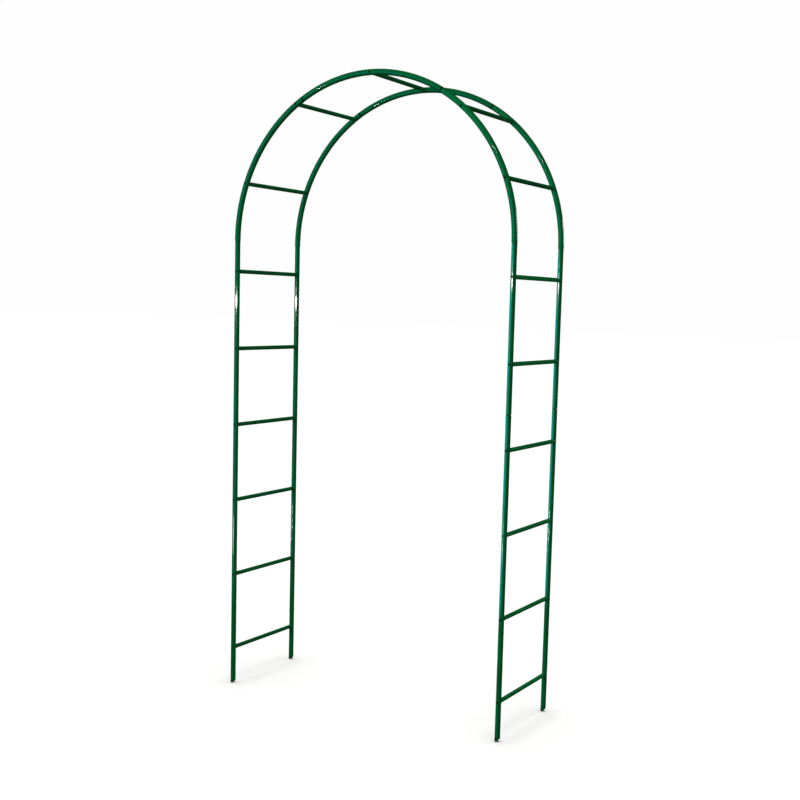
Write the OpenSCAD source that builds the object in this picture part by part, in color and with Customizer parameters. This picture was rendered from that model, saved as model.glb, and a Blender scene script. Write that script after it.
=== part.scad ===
// Garden trellis arch. Two tube frames stand one behind the other, and round rungs join them like a
// ladder that climbs one leg, bends overhead and comes down the other.
// X runs across the walkway, Y along it and Z up. The origin is on the ground in the middle of the arch.
// All lengths are in millimetres and all angles in degrees.

/* [Arch] */
// Distance across the walkway, from post centre to post centre
span_w = 1200; // [900:10:1500]
// Distance between the two frames, from post centre to post centre
frame_gap = 385; // [250:5:600]
// Height of the lowest tube joint
first_joint_z = 575; // [500:5:580]
// Distance from one post joint to the next
post_step = 595; // [592:1:620]

/* [Tubes] */
// Outer diameter of the post tubes
post_d = 20; // [17:0.5:20.5]
// Outer diameter of the bow tubes
bow_d = 22; // [21.5:0.5:24]
// Outer diameter of the rungs
rung_d = 16; // [12:0.5:17]
// Wall thickness of every tube
wall = 1; // [0.8:0.1:1.2]

/* [Push joints] */
// Length of the reduced end that slides into the next tube
spigot_len = 45; // [40:1:60]
// Gap all round a reduced end
spigot_gap = 0.15; // [0.1:0.05:0.25]
// Length over which a post tube narrows to its reduced end
post_neck_len = 3; // [2:0.5:8]
// Length over which a bow tube narrows to its reduced end
bow_neck_len = 6; // [3:0.5:8]
// Length of the taper from a side bow down to its post
taper_len = 8; // [8:1:15]
// Bevel on the open rims that the reduced ends slide into
rim_bevel = 0.3; // [0.2:0.1:0.5]

/* [Rungs] */
// Height of the lowest rung
first_rung_z = 145; // [120:5:160]
// Distance from one leg rung to the next
rung_pitch = 300; // [290:1:302]
// Angle above the spring line of the lower bow rungs
low_rung_angle = 21; // [10:0.5:30]
// Angle above the spring line of the upper left bow rung, whose screws also lock the bow joints
left_high_rung_angle = 57; // [56.5:0.1:58]
// Angle above the spring line of the upper right bow rung
right_high_rung_angle = 50.5; // [46:0.5:54]
// Gap between a rung's coped end and the tube that it meets
cope_gap = 0.05; // [0.05:0.05:0.2]

/* [Screws] */
// Diameter of the screws that hold the rungs
screw_d = 4; // [3:0.5:5]
// Length of the screws under their heads
screw_len = 30; // [29:1:33]
// Diameter of the pan heads
head_d = 8; // [7:0.5:9]
// Height of the pan heads
head_h = 3; // [2.5:0.1:3.5]
// Diameter of the holes drilled through the tubes
hole_d = 4.5; // [4.5:0.1:5.5]
// Length of the threaded insert in each rung end
insert_len = 15; // [12:1:25]

/* [Feet] */
// Height of a foot tip below its post tube
foot_h = 16; // [14:1:30]
// Length of the plug that holds a foot tip in its tube
plug_len = 22; // [15:1:40]
// Rounding of a foot tip's lower edge
foot_round = 3; // [2:0.5:4]
// Slope of the bevel that helps a foot into the soil
foot_bevel_angle = 45; // [30:5:50]

/* [Hidden] */
$fn = 64;
coat_green = [0.02, 0.33, 0.2];
rung_green = [0.02, 0.29, 0.16];
screw_grey = [0.16, 0.18, 0.17];
zinc_grey = [0.68, 0.69, 0.66];

post_r = post_d / 2;
bow_tube_r = bow_d / 2;
bow_r = span_w / 2;
spring_z = first_joint_z + 2 * post_step;
post_tops = [first_joint_z, first_joint_z + post_step, spring_z - taper_len];
post_spigot_r = post_r - wall - spigot_gap;
bow_spigot_r = bow_tube_r - wall - spigot_gap;

// Bow joints are at these angles above the right-hand spring point.
bow_ends = [0, 60, 120, 180];
spigot_angle = arc_angle(spigot_len);
neck_angle = arc_angle(bow_neck_len);
rim_angle = arc_angle(rim_bevel);
rungs_per_leg = 6;
bow_rung_angles = [
    low_rung_angle, right_high_rung_angle, 90, 180 - left_high_rung_angle, 180 - low_rung_angle
];
bow_rung_names = ["right_low", "right_high", "top", "left_high", "left_low"];

// A frame is -1 in front and 1 behind, and a side is -1 on the left and 1 on the right.
frame_signs = [-1, 1];
side_signs = [-1, 1];
levels = ["lower", "middle", "upper"];
function frame_name(f) = f < 0 ? "front" : "back";
function side_name(s) = s < 0 ? "left" : "right";
function arc_angle(len) = len / bow_r * 180 / PI;

// A rung place is [x, z, tilt, radius of the tubes that the rung joins].
function leg_rung_place(s, i) = [s * bow_r, first_rung_z + i * rung_pitch, 0, post_r];
function bow_rung_place(a) = [bow_r * cos(a), spring_z + bow_r * sin(a), a, bow_tube_r];
rung_places = [
    for (s = side_signs, i = [0 : rungs_per_leg - 1]) leg_rung_place(s, i),
    for (a = bow_rung_angles) bow_rung_place(a)
];

function post_name(f, s, level) = str(frame_name(f), "_", side_name(s), "_post_", level);
function side_bow_name(f, s) = str(frame_name(f), "_bow_", side_name(s));
function top_bow_name(f) = str(frame_name(f), "_bow_top");
function foot_name(f, s) = str(frame_name(f), "_", side_name(s), "_foot_tip");
function leg_rung_name(s, i) = str(side_name(s), "_rung_", i);
function bow_rung_name(name) = str("bow_rung_", name);
function screws_name(f) = str(frame_name(f), "_rung_screws");
function inserts_name(f) = str(frame_name(f), "_rung_inserts");

// Moves its children from the middle of the walkway to a rung place, with +Z along the tubes there.
module at_rung(place) {
    translate([place[0], 0, place[1]]) rotate([0, -place[2], 0]) children();
}

// Turns its children so that +Z points from frame f into the rung, starting on that frame's centre line.
module from_frame(f) {
    translate([0, f * frame_gap / 2, 0]) rotate([f * 90, 0, 0]) children();
}

// Drills the screw holes of every rung that this frame's tubes hold.
module rung_holes(f) {
    for (place = rung_places)
        at_rung(place) translate([0, f * frame_gap / 2, 0]) rotate([90, 0, 0])
            cylinder(d = hole_d, h = 2 * bow_d, center = true);
}

// A solid round bar of radius r that follows the bow from angle a to angle b.
module bow_bar(a, b, r) {
    rotate([90, 0, 0]) rotate([0, 0, a]) rotate_extrude(angle = b - a, $fn = 192)
        translate([bow_r, 0]) circle(r);
}

// One straight post tube from height z0 to height z1, narrowed to a spigot above z1 where it has one.
module post_tube(z0, z1, has_spigot) {
    bore_r = post_r - wall;
    top = has_spigot
        ? [[post_r, z1 - post_neck_len], [post_spigot_r, z1], [post_spigot_r, z1 + spigot_len],
           [post_spigot_r - wall, z1 + spigot_len], [post_spigot_r - wall, z1], [bore_r, z1 - post_neck_len]]
        : [[post_r, z1 - rim_bevel], [post_r - rim_bevel, z1], [bore_r, z1]];
    rotate_extrude() polygon(concat([[bore_r, z0], [post_r - rim_bevel, z0], [post_r, z0 + rim_bevel]], top));
}

module post(f, s, level) {
    bottom_z = [foot_h, post_tops[0], post_tops[1]][level];
    color(coat_green) difference() {
        translate([s * bow_r, f * frame_gap / 2, 0]) post_tube(bottom_z, post_tops[level], level < 2);
        rung_holes(f);
    }
}

// A side bow: a 60 degree arc, open at its upper end, that tapers at its foot to a spigot.
module side_bow(f, s) {
    spigot_bottom = -taper_len - spigot_len;
    color(coat_green) difference() {
        translate([0, f * frame_gap / 2, spring_z]) mirror([s < 0 ? 1 : 0, 0, 0]) difference() {
            union() {
                bow_bar(bow_ends[0], bow_ends[1] - rim_angle, bow_tube_r);
                bow_bar(bow_ends[0], bow_ends[1], bow_tube_r - rim_bevel);
                translate([bow_r, 0, -taper_len]) cylinder(r1 = post_r - rim_bevel, r2 = bow_tube_r, h = taper_len);
                translate([bow_r, 0, spigot_bottom]) cylinder(r = post_spigot_r, h = spigot_len + taper_len);
            }
            bow_bar(bow_ends[0], bow_ends[1] + rim_angle, bow_tube_r - wall);
            translate([bow_r, 0, spigot_bottom - 1])
                cylinder(r = post_spigot_r - wall, h = spigot_len + taper_len + 2);
            translate([bow_r, 0, -bow_neck_len])
                cylinder(r1 = post_spigot_r - wall, r2 = bow_tube_r - wall, h = bow_neck_len);
        }
        rung_holes(f);
    }
}

// The cone that narrows a bow tube to its spigot, its tip at a bow joint. It overlaps both a little.
module bow_neck() {
    lap = 0.3;
    step = 0.06;
    translate([0, 0, -lap])
        cylinder(r1 = bow_spigot_r + step, r2 = bow_tube_r - step, h = bow_neck_len + 2 * lap);
}

// The top bow: a 60 degree arc that narrows at both ends to a curved spigot.
module top_bow(f) {
    a = bow_ends[1];
    b = bow_ends[2];
    color(coat_green) difference() {
        translate([0, f * frame_gap / 2, spring_z]) difference() {
            union() {
                bow_bar(a + neck_angle, b - neck_angle, bow_tube_r);
                for (m = [0, 1]) mirror([m, 0, 0])
                    translate([bow_r * cos(a), 0, bow_r * sin(a)]) rotate([0, -a - neck_angle / 2, 0]) bow_neck();
                bow_bar(a - spigot_angle, b + spigot_angle, bow_spigot_r);
            }
            bow_bar(a + neck_angle, b - neck_angle, bow_tube_r - wall);
            bow_bar(a - spigot_angle - rim_angle, b + spigot_angle + rim_angle, bow_spigot_r - wall);
        }
        rung_holes(f);
    }
}

// A rung: a round tube between the frames, each end coped to sit against the tube that it meets.
module rung(place) {
    color(rung_green) at_rung(place) difference() {
        rotate([90, 0, 0]) cylinder(d = rung_d, h = frame_gap, center = true);
        rotate([90, 0, 0]) cylinder(d = rung_d - 2 * wall, h = frame_gap + 2, center = true);
        for (f = frame_signs) translate([0, f * frame_gap / 2, 0])
            cylinder(r = place[3] + cope_gap, h = 2 * rung_d, center = true);
    }
}

// A closed foot tip with a rounded lower edge, bevelled on its right-hand side, and its plug.
module foot_tip(f, s) {
    bevel_start = -post_r / 4;
    color(coat_green) translate([s * bow_r, f * frame_gap / 2, 0]) difference() {
        union() {
            translate([0, 0, foot_round]) cylinder(r = post_r, h = foot_h - foot_round);
            cylinder(r = post_r - foot_round, h = foot_h);
            rotate_extrude() translate([post_r - foot_round, foot_round]) circle(foot_round);
            cylinder(r = post_r - wall - spigot_gap, h = foot_h + plug_len);
        }
        translate([bevel_start, 0, 0]) rotate([0, -foot_bevel_angle, 0])
            translate([0, -post_d, -2 * post_d]) cube([3 * post_d, 2 * post_d, 2 * post_d]);
    }
}

// A pan-head screw with a crossed recess, its head seated at z = 0 and its shank along +Z.
module pan_screw(turn) {
    crown_r = (head_d * head_d / 4 + head_h * head_h) / (2 * head_h);
    recess = [0.55 * head_d, 0.12 * head_d, head_h];
    cylinder(d = screw_d, h = screw_len);
    difference() {
        intersection() {
            translate([0, 0, -head_h]) cylinder(d = head_d, h = head_h);
            translate([0, 0, crown_r - head_h]) sphere(crown_r);
        }
        for (a = [0, 90]) rotate([0, 0, a + turn]) translate([0, 0, -head_h]) cube(recess, center = true);
    }
}

// All the screws of one frame. Each stays at the angle that it happened to be tightened to.
module rung_screws(f) {
    turn_step = 37;
    color(screw_grey) for (i = [0 : len(rung_places) - 1]) {
        place = rung_places[i];
        at_rung(place) from_frame(f) translate([0, 0, -place[3]]) pan_screw(i * turn_step);
    }
}

// All the threaded inserts of one frame, one in the end of each rung.
module rung_inserts(f) {
    color(zinc_grey) for (place = rung_places)
        at_rung(place) from_frame(f) translate([0, 0, place[3] + 2 * cope_gap]) difference() {
            cylinder(r = rung_d / 2 - wall - cope_gap, h = insert_len);
            translate([0, 0, -1]) cylinder(d = screw_d + 2 * cope_gap, h = insert_len + 2);
        }
}

for (f = frame_signs, s = side_signs, i = [0 : 2])
    post(f, s, i);
for (f = frame_signs, s = side_signs)
    side_bow(f, s);
for (f = frame_signs)
    top_bow(f);
for (f = frame_signs, s = side_signs)
    foot_tip(f, s);
for (s = side_signs, i = [1 : rungs_per_leg])
    rung(leg_rung_place(s, i - 1));
for (i = [0 : len(bow_rung_names) - 1])
    rung(bow_rung_place(bow_rung_angles[i]));
for (f = frame_signs)
    rung_screws(f);
for (f = frame_signs)
    rung_inserts(f);
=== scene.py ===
"""A round-topped garden trellis arch of green coated steel tube, pushed together and screwed.

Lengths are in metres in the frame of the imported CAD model: X across the walkway, Y along it, Z up, and
the ground at zero. The arch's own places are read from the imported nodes.
"""
import math

import bpy
from mathutils import Matrix, Vector


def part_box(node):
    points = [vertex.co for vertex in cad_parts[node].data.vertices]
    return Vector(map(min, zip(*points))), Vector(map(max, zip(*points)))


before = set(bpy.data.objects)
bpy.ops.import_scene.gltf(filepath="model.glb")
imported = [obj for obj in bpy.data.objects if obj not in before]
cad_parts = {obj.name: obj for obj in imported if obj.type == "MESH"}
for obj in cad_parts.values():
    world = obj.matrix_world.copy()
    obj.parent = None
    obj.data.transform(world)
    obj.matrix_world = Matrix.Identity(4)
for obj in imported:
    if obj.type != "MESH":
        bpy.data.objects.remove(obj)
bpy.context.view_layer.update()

MM = 0.001

# The arch's driving places.
POST_LOW, POST_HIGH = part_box("front_right_post_upper")
POST_X = (POST_LOW.x + POST_HIGH.x) / 2
FRONT_Y = (POST_LOW.y + POST_HIGH.y) / 2
POST_JOINTS = [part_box("front_right_post_middle")[0].z, POST_LOW.z, POST_HIGH.z]
TOP_BOW_LOW, TOP_BOW_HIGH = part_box("front_bow_top")
BOW_TUBE_RADIUS = (TOP_BOW_HIGH.y - TOP_BOW_LOW.y) / 2
BOW_RADIUS = POST_X
SPRING_Z = TOP_BOW_HIGH.z - BOW_TUBE_RADIUS - BOW_RADIUS
BOW_JOINT_ANGLE = 180 / 3
UP = Vector((0, 0, 1))


def on_bow(angle, y=0.0):
    """A point of a bow's centre line, angle degrees round from its right end, and the tube's direction."""
    a = math.radians(angle)
    point = Vector((BOW_RADIUS * math.cos(a), y, SPRING_Z + BOW_RADIUS * math.sin(a)))
    return point, Vector((-math.sin(a), 0, math.cos(a)))


# ---------------------------------------------------------------- materials

def srgb(hex_colour):
    """The linear RGBA colour of an sRGB hex string."""
    values = [int(hex_colour[i:i + 2], 16) / 255 for i in (0, 2, 4)]
    return tuple(v / 12.92 if v <= 0.04045 else ((v + 0.055) / 1.055) ** 2.4 for v in values) + (1.0,)


def add_node(tree, kind, links=None, values=None, ramp=None, **settings):
    """Adds a node. links and values go to its inputs, ramp lists (position, colour), settings are its own."""
    node = tree.nodes.new(kind)
    for key, value in settings.items():
        setattr(node, key, value)
    for key, value in (values or {}).items():
        node.inputs[key].default_value = value
    for key, socket in (links or {}).items():
        tree.links.new(socket, node.inputs[key])
    if ramp:
        elements = node.color_ramp.elements
        for element, (position, colour) in zip(elements, ramp):
            element.position = position
            element.color = srgb(colour)
    return node


def new_material(name, values):
    """A material with values set on its shader. Gives it, its nodes, the shader and its surface's points."""
    material = bpy.data.materials.new(name)
    material.use_nodes = True
    tree = material.node_tree
    tree.nodes.clear()
    shader = add_node(tree, "ShaderNodeBsdfPrincipled", values=values)
    add_node(tree, "ShaderNodeOutputMaterial", {"Surface": shader.outputs[0]})
    place = add_node(tree, "ShaderNodeTexCoord").outputs["Object"]
    return material, tree, shader, place


# Where tubes join, as (point, direction along the tube, half width of the groove, how dark the painted shade
# in it is). The right-hand side stands for both.
GROOVE_HALF = 1.5 * MM
BOW_GROOVE_HALF = 3 * MM
bow_joint, bow_joint_along = on_bow(BOW_JOINT_ANGLE)
# How dark the painted shade in the grooves is, on the posts and on the bows.
POST_GROOVE_SHADE = 0.4
BOW_GROOVE_SHADE = 1.0
JOINTS = [(Vector((POST_X, 0, z - GROOVE_HALF)), UP, GROOVE_HALF, POST_GROOVE_SHADE) for z in POST_JOINTS]
JOINTS.append((bow_joint + bow_joint_along * BOW_GROOVE_HALF, bow_joint_along, BOW_GROOVE_HALF, BOW_GROOVE_SHADE))
# How far round a joint its painted shade may lie, and how it fades across the groove, in half widths of the
# groove.
JOINT_REACH = 30 * MM
JOINT_FADE = 0.3 * MM
GROOVE_SHADE_FULL = 0.8
GROOVE_SHADE_END = 1.6


def joint_grooves(tree, place):
    """How dark the painted shade in the grooves where tubes join is, and 0 elsewhere, as a socket."""
    flat = add_node(tree, "ShaderNodeVectorMath", {0: place}, {1: (1, 0, 1)}, operation="MULTIPLY")
    one_side = add_node(tree, "ShaderNodeVectorMath", {0: flat.outputs[0]}, operation="ABSOLUTE")
    total = None
    for point, along, half, groove_shade in JOINTS:
        offset = add_node(tree, "ShaderNodeVectorMath", {0: one_side.outputs[0]}, {1: point},
                          operation="SUBTRACT")
        travel = add_node(tree, "ShaderNodeVectorMath", {0: offset.outputs[0]}, {1: along},
                          operation="DOT_PRODUCT")
        gap = add_node(tree, "ShaderNodeMath", {0: travel.outputs["Value"]}, operation="ABSOLUTE")
        reach = add_node(tree, "ShaderNodeVectorMath", {0: offset.outputs[0]}, operation="LENGTH")
        near = add_node(tree, "ShaderNodeMapRange", {"Value": reach.outputs["Value"]},
                        {"From Min": JOINT_REACH, "From Max": JOINT_REACH + JOINT_FADE,
                         "To Min": groove_shade, "To Max": 0.0})
        groove = add_node(tree, "ShaderNodeMapRange", {"Value": gap.outputs[0], "To Min": near.outputs[0]},
                          {"From Min": GROOVE_SHADE_FULL * half, "From Max": GROOVE_SHADE_END * half, "To Max": 0.0})
        if total:
            total = add_node(tree, "ShaderNodeMath", {0: total.outputs[0], 1: groove.outputs[0]},
                             operation="MAXIMUM")
        else:
            total = groove
    return total.outputs[0]


# Sizes of what the eye finds on a powder coat. Real orange peel is 1 to 2 mm across, and is drawn as
# coarse as it needs to be to show.
CLOUD_SIZE = 180 * MM
PEEL_SIZE = 4 * MM
PEEL_DEPTH = 0.004 * MM
SMUDGE_SIZE = 45 * MM
SMUDGE_DULLNESS = 0.06
COAT_IOR = 1.5

# Sizes of the mottle on black oxide and of the flakes of zinc plate. Both are finer on the real pieces, and
# are drawn as coarse as they need to be to show.
MOTTLE_SIZE = 1.2 * MM
FLAKE_SIZE = 1.5 * MM
FLOOR_PATCHES_PER_METRE = 0.6


def powder_coat(name, light_green, deep_green, groove_shade_green, roughness):
    """Gloss polyester powder, baked on steel tube.

    The eye finds a deep even green with sharp highlights, a slow cloudiness where the powder lies thicker,
    the fine ripple called orange peel, duller handled places, and painted shade in the joint grooves.
    """
    material, tree, shader, place = new_material(name, {"IOR": COAT_IOR})
    clouds = add_node(tree, "ShaderNodeTexNoise", {"Vector": place},
                      {"Scale": 1 / CLOUD_SIZE, "Detail": 3.0, "Roughness": 0.6})
    green = add_node(tree, "ShaderNodeValToRGB", {"Fac": clouds.outputs["Fac"]},
                     ramp=[(0.35, deep_green), (0.65, light_green)])
    # Painted shade in the joint grooves is mixed into the green.
    colour = add_node(tree, "ShaderNodeMix", {0: joint_grooves(tree, place), 6: green.outputs["Color"]},
                      {7: srgb(groove_shade_green)}, data_type="RGBA")
    tree.links.new(colour.outputs[2], shader.inputs["Base Color"])
    smudges = add_node(tree, "ShaderNodeTexNoise", {"Vector": place},
                       {"Scale": 1 / SMUDGE_SIZE, "Detail": 4.0, "Roughness": 0.65})
    gloss = add_node(tree, "ShaderNodeMapRange", {"Value": smudges.outputs["Fac"]},
                     {"From Min": 0.5, "From Max": 0.8,
                      "To Min": roughness, "To Max": roughness + SMUDGE_DULLNESS})
    tree.links.new(gloss.outputs[0], shader.inputs["Roughness"])
    peel = add_node(tree, "ShaderNodeTexNoise", {"Vector": place},
                    {"Scale": 1 / PEEL_SIZE, "Detail": 1.0, "Roughness": 0.4})
    ripple = add_node(tree, "ShaderNodeBump", {"Height": peel.outputs["Fac"]},
                      {"Strength": 1.0, "Distance": PEEL_DEPTH})
    tree.links.new(ripple.outputs["Normal"], shader.inputs["Normal"])
    return material


def blackened_steel(name):
    """Black oxide on steel screws: nearly black and half dull, mottled, rubbed brighter in small spots."""
    material, tree, shader, place = new_material(name, {"Metallic": 1.0})
    mottle = add_node(tree, "ShaderNodeTexNoise", {"Vector": place},
                      {"Scale": 1 / MOTTLE_SIZE, "Detail": 3.0, "Roughness": 0.6})
    black = add_node(tree, "ShaderNodeValToRGB", {"Fac": mottle.outputs["Fac"]},
                     ramp=[(0.35, "101513"), (0.75, "3a423e")])
    tree.links.new(black.outputs["Color"], shader.inputs["Base Color"])
    gloss = add_node(tree, "ShaderNodeMapRange", {"Value": mottle.outputs["Fac"]},
                     {"From Min": 0.3, "From Max": 0.8, "To Min": 0.55, "To Max": 0.38})
    tree.links.new(gloss.outputs[0], shader.inputs["Roughness"])
    return material


def zinc_plate(name):
    """Zinc plate on the threaded inserts: pale grey, with the bright and dull flakes of its crystals."""
    material, tree, shader, place = new_material(name, {"Metallic": 1.0})
    flakes = add_node(tree, "ShaderNodeTexVoronoi", {"Vector": place}, {"Scale": 1 / FLAKE_SIZE})
    grey = add_node(tree, "ShaderNodeValToRGB", {"Fac": flakes.outputs["Distance"]},
                    ramp=[(0.1, "9c9f9d"), (0.7, "c9cbc8")])
    tree.links.new(grey.outputs["Color"], shader.inputs["Base Color"])
    gloss = add_node(tree, "ShaderNodeMapRange", {"Value": flakes.outputs["Distance"]},
                     {"To Min": 0.3, "To Max": 0.45})
    tree.links.new(gloss.outputs[0], shader.inputs["Roughness"])
    return material


def floor_paint(name):
    """Matt white studio floor paint, very slightly uneven."""
    material, tree, shader, place = new_material(name, {"Roughness": 0.9})
    uneven = add_node(tree, "ShaderNodeTexNoise", {"Vector": place},
                      {"Scale": FLOOR_PATCHES_PER_METRE, "Detail": 2.0})
    white = add_node(tree, "ShaderNodeValToRGB", {"Fac": uneven.outputs["Fac"]},
                     ramp=[(0.3, "f7f7f6"), (0.7, "f9f9f8")])
    tree.links.new(white.outputs["Color"], shader.inputs["Base Color"])
    return material


def cover(nodes, material):
    """Puts one material on CAD nodes."""
    for name in nodes:
        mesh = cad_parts[name].data
        mesh.materials.clear()
        mesh.materials.append(material)


NODES = sorted(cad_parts)
RUNGS = [n for n in NODES if "_rung_" in n and not n.endswith(("screws", "inserts"))]
FEET = [n for n in NODES if n.endswith("foot_tip")]
SCREWS = [n for n in NODES if n.endswith("screws")]
INSERTS = [n for n in NODES if n.endswith("inserts")]
POSTS = [n for n in NODES if "_post_" in n]
BOWS = [n for n in NODES if "_bow_" in n]

# The dark green of the painted shade in the joint grooves.
GROOVE_SHADE_GREEN = "020f09"
cover(POSTS, powder_coat("green_gloss_powder_coat_on_posts", "035726", "034f21", GROOVE_SHADE_GREEN, 0.05))
cover(BOWS, powder_coat("green_gloss_powder_coat_on_bows", "035625", "034e20", GROOVE_SHADE_GREEN, 0.09))
# The rungs have the same coat as the posts, but their green is painted lighter, as painted light.
cover(RUNGS, powder_coat("green_gloss_powder_coat_on_rungs_painted_lighter", "045c29", "035223", GROOVE_SHADE_GREEN, 0.12))
cover(FEET, powder_coat("green_gloss_powder_coat_on_foot_tips", "035224", "03491d", GROOVE_SHADE_GREEN, 0.16))
cover(SCREWS, blackened_steel("blackened_steel_screws"))
cover(INSERTS, zinc_plate("zinc_plated_steel_inserts"))


# ---------------------------------------------------------------- camera

CAMERA_PLACE = Vector((2.456, -3.9095, 1.5551))
CAMERA_YAW = 28.352
CAMERA_PITCH = 6.072
CAMERA_ROLL = 1.806
CAMERA_LENS = 54.163
CAMERA_SHIFT = (-0.0875, 0.0375)


def aim(yaw, pitch, roll):
    """The turn of a camera that looks along +Y, then turned left, tipped down and rolled, in degrees."""
    y, p, r = math.radians(yaw), math.radians(pitch), math.radians(roll)
    forward = Vector((-math.sin(y) * math.cos(p), math.cos(y) * math.cos(p), -math.sin(p)))
    level = Vector((math.cos(y), math.sin(y), 0))
    upright = level.cross(forward)
    right = level * math.cos(r) + upright * math.sin(r)
    up = upright * math.cos(r) - level * math.sin(r)
    return Matrix((right, up, -forward)).transposed().to_4x4()


camera = bpy.data.objects.new("camera", bpy.data.cameras.new("camera"))
bpy.context.collection.objects.link(camera)
camera.matrix_world = Matrix.Translation(CAMERA_PLACE) @ aim(CAMERA_YAW, CAMERA_PITCH, CAMERA_ROLL)
camera.data.sensor_width = 36
camera.data.lens = CAMERA_LENS
camera.data.shift_x, camera.data.shift_y = CAMERA_SHIFT
bpy.context.scene.camera = camera


# ---------------------------------------------------------------- floor

FLOOR_HALF = 60.0
floor_mesh = bpy.data.meshes.new("studio_floor")
floor_corners = [(x * FLOOR_HALF, y * FLOOR_HALF, 0) for x, y in ((-1, -1), (1, -1), (1, 1), (-1, 1))]
floor_mesh.from_pydata(floor_corners, [], [(0, 1, 2, 3)])
floor_mesh.materials.append(floor_paint("matt_white_floor_paint"))
floor = bpy.data.objects.new("studio_floor", floor_mesh)
bpy.context.collection.objects.link(floor)

# The tubes neither mirror the floor nor take its light, so that their undersides stay dark.
floor.visible_glossy = False
floor.visible_diffuse = False


# ---------------------------------------------------------------- studio light

def group(name, objects):
    """A collection that a light may be limited to."""
    made = bpy.data.collections.new(name)
    for item in objects:
        made.objects.link(item)
    return made


def add_light(kind, name, place, target, energy, lights, only=None, colour="ffffff", **settings):
    """Adds a light at place that faces target. lights is "diffuse" or "glossy", and only is the lit group."""
    lamp = bpy.data.objects.new(name, bpy.data.lights.new(name, kind))
    for key, value in settings.items():
        setattr(lamp.data, key, value)
    lamp.data.color = srgb(colour)[:3]
    lamp.data.energy = energy
    lamp.location = place
    lamp.rotation_euler = (Vector(target) - Vector(place)).to_track_quat("-Z", "Y").to_euler()
    lamp.visible_camera = False
    lamp.visible_diffuse = lights == "diffuse"
    lamp.visible_glossy = lights == "glossy"
    if only:
        lamp.light_linking.receiver_collection = only
    bpy.context.collection.objects.link(lamp)


def mirror_place(spot, along, turn, distance):
    """Where a lamp stands for the camera to see it mirrored at a spot of a tube.

    along is the tube's direction there, and turn says how far round the tube from its middle, in degrees.
    """
    view = (CAMERA_PLACE - spot).normalized()
    facing = (view - view.dot(along) * along).normalized()
    t = math.radians(turn)
    normal = math.cos(t) * facing + math.sin(t) * along.cross(facing)
    return spot + distance * (2 * normal.dot(view) * normal - view)


MIDDLE = Vector((0, 0, 1.2))
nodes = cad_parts
only_arch = group("only_arch", nodes.values())
only_floor = group("only_floor", [floor])
all_tubes = group("all_tubes", [nodes[n] for n in POSTS + BOWS + FEET])
left_posts = group("left_posts", [nodes[n] for n in POSTS if "left" in n])
right_posts = group("right_posts", [nodes[n] for n in POSTS if "right" in n])
right_tubes = group("right_tubes", [nodes[n] for n in POSTS + BOWS if "right" in n])
right_rungs = group("right_rungs", [nodes[n] for n in RUNGS if n.startswith("right")])

FILL_STRENGTH = 0.33
BACKDROP_STRENGTH = 0.99
WHITE = srgb("ffffff")
world = bpy.data.worlds.new("studio")
bpy.context.scene.world = world
world.use_nodes = True
world.node_tree.nodes.clear()
world.cycles_visibility.glossy = False
tree = world.node_tree
is_seen = add_node(tree, "ShaderNodeLightPath").outputs["Is Camera Ray"]
fill = add_node(tree, "ShaderNodeBackground", values={"Color": WHITE, "Strength": FILL_STRENGTH})
backdrop = add_node(tree, "ShaderNodeBackground", values={"Color": WHITE, "Strength": BACKDROP_STRENGTH})
both = add_node(tree, "ShaderNodeMixShader", {0: is_seen, 1: fill.outputs[0], 2: backdrop.outputs[0]})
add_node(tree, "ShaderNodeOutputWorld", {"Surface": both.outputs[0]})

# Even light that makes the floor as pale as the backdrop.
add_light("SUN", "floor_light", (0, 0, 8), (0, 0, 0), 2.72, "diffuse", only_floor, angle=math.radians(60))

# Soft overhead light, a little in front, that fades towards the ground.
add_light("AREA", "overhead_light", (1.6, -2.8, 9.5), MIDDLE, 510, "diffuse", only_arch,
          shape="SQUARE", size=6.0)

# The key light, front left, which leaves the right-hand edges dark.
add_light("AREA", "key_light", (-1.5, -4.2, 2.9), MIDDLE, 135, "diffuse", only_arch, shape="SQUARE", size=1.5)

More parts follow.
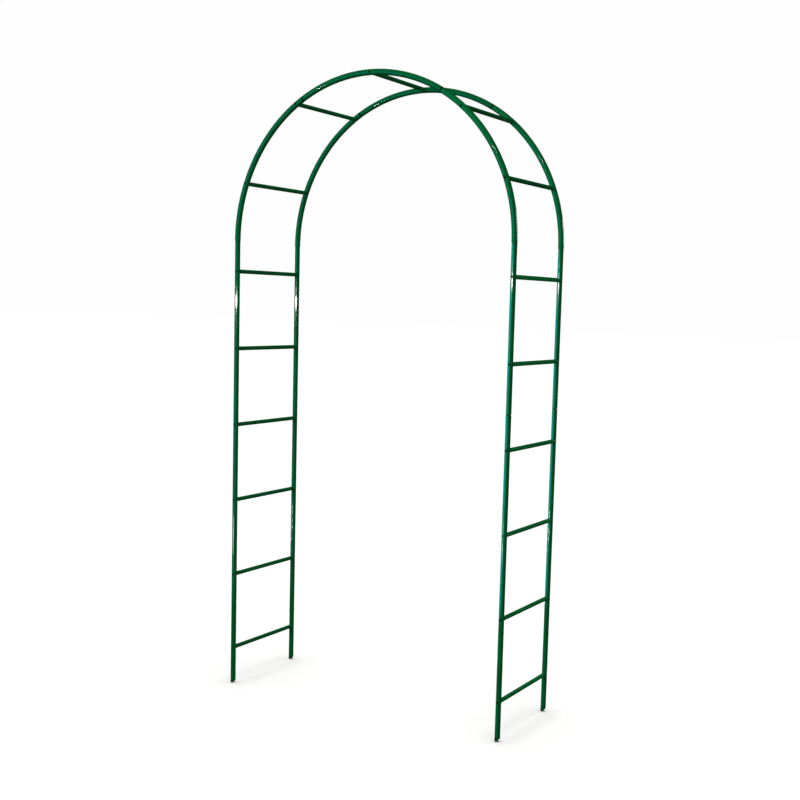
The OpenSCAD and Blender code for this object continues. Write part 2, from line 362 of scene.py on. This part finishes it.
# Wide cool panels that the gloss mirrors as a bluish band down the left of each tube. The right-hand posts
# mirror a wider one too. Both reach below floor level, so that the band runs down the legs.
COOL = "20f0ff"
PANEL_Z = -0.1
add_light("AREA", "cool_panel", MIDDLE + Vector((-1.6, -5.3, PANEL_Z)), MIDDLE, 115, "glossy", all_tubes,
          colour=COOL, shape="RECTANGLE", size=6.0, size_y=4.2)
add_light("AREA", "wide_cool_panel", MIDDLE + Vector((-4.0, -3.0, PANEL_Z)), MIDDLE, 400, "glossy",
          right_posts, colour=COOL, shape="RECTANGLE", size=9.0, size_y=4.2)

# The right-hand tubes are tinted bluer still, and their rungs lit more.
add_light("AREA", "cool_side_light", (-3.5, -3.5, 1.5), MIDDLE, 300, "diffuse", right_tubes, colour="60c0ff",
          shape="SQUARE", size=3.0)
add_light("AREA", "right_rung_light", (3.0, -1.0, 1.8), (POST_X, 0, 1.0), 25, "diffuse", right_rungs,
          shape="SQUARE", size=1.0)

# Light for the side turned away from the camera.
add_light("AREA", "back_light", (-3.0, 5.0, 3.0), MIDDLE, 150, "diffuse", only_arch, shape="SQUARE", size=1.5)
add_light("AREA", "back_gloss", (4.0, 3.5, 2.6), MIDDLE, 60, "glossy", shape="SQUARE", size=1.0)

# Strip lamps whose mirror images are the white sparks on the legs: side, the leg's X, the spark's height,
# what they light, their power and their width.
LEG_LAMPS = [("left", -POST_X, 1.530, left_posts, 150, 8.0), ("right", POST_X, 1.628, right_posts, 60, 4.0)]
LEG_LAMP_TURN = -20
LEG_LAMP_DISTANCE = 5.5
LEG_LAMP_HEIGHT = 0.1
for side, x, z, posts, energy, width in LEG_LAMPS:
    spot = Vector((x, FRONT_Y, z))
    add_light("AREA", side + "_leg_lamp", mirror_place(spot, UP, LEG_LAMP_TURN, LEG_LAMP_DISTANCE), spot,
              energy, "glossy", posts, shape="RECTANGLE", size=width, size_y=LEG_LAMP_HEIGHT)

# Small lamps whose mirror images are the sparks on the bows: side, the angle along the bow, their power,
# their width and their height.
BOW_LAMPS = [("left", 111.0, 24, 0.12, 0.3), ("right", 31.4, 9, 0.3, 0.08)]
BOW_LAMP_DISTANCE = 5.0
for side, angle, energy, width, height in BOW_LAMPS:
    spot, along = on_bow(angle, FRONT_Y)
    add_light("AREA", side + "_bow_lamp", mirror_place(spot, along, 0, BOW_LAMP_DISTANCE), spot, energy,
              "glossy", shape="RECTANGLE", size=width, size_y=height)

bpy.context.scene.view_settings.view_transform = "Standard"
